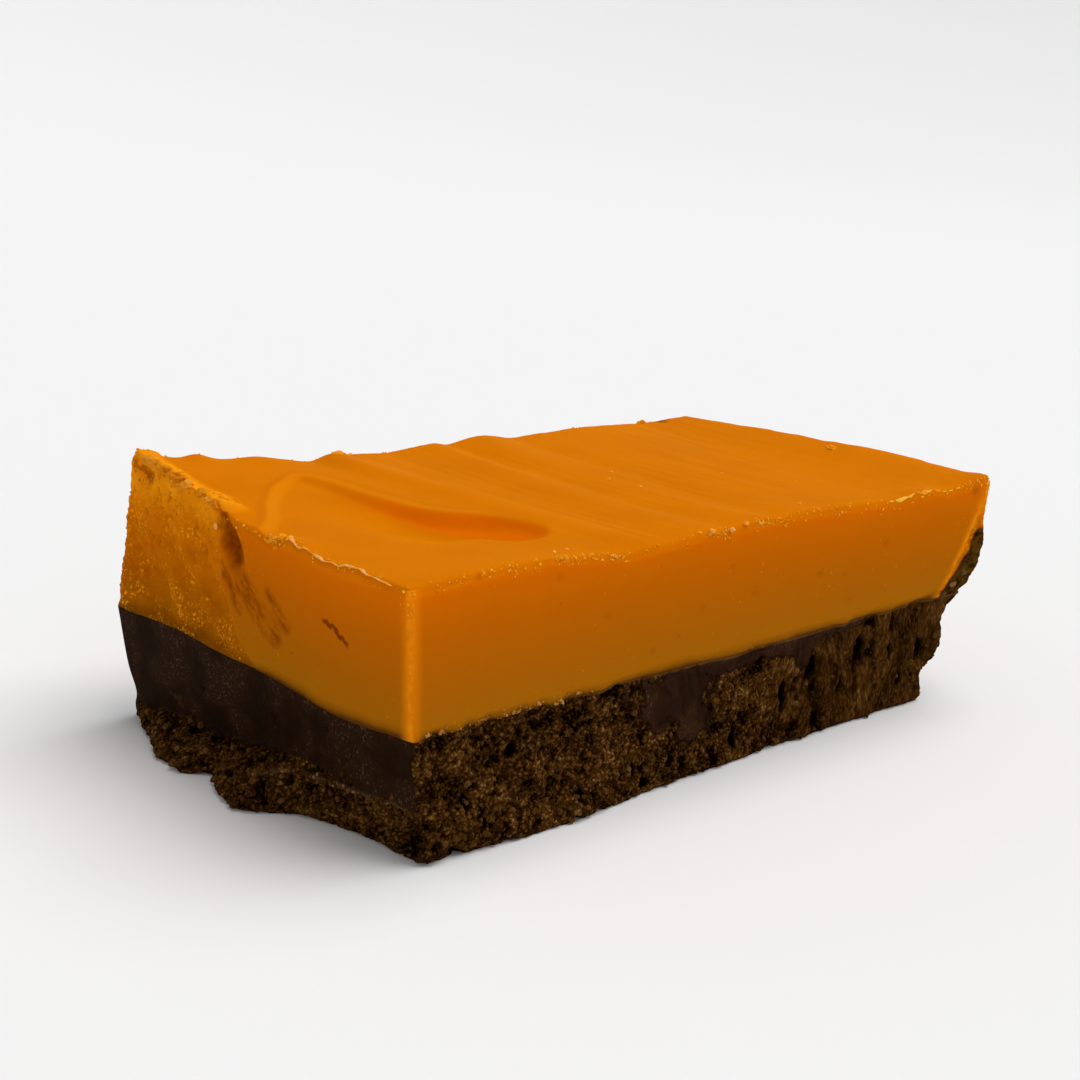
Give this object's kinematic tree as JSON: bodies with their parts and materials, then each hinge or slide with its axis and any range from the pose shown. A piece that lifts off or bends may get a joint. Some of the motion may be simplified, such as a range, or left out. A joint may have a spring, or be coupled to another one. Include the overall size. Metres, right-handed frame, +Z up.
{
  "type": "orange and chocolate fudge slab",
  "caption": "Cut slab of layered fudge: smooth orange fudge with spatula marks, over dark chocolate fudge that is cut clean in places and crumbly elsewhere.",
  "frame": {"origin": "centre of the bounding box at the flat foot the slab stands on", "axes": "+X along the slab towards its torn end, -Y towards the long cut face, +Z up through the chocolate layer and then the orange one"},
  "size_m": [0.115, 0.0616, 0.0355],
  "materials": {
    "orange_fudge": "smooth, slightly waxy fudge with a soft sheen",
    "chocolate_fudge": "matt dark crumb, smooth where the knife cut it clean"
  },
  "bodies": {
    "root": {"orange_fudge": "orange_fudge", "chocolate_fudge": "chocolate_fudge"}
  },
  "joints": []
}
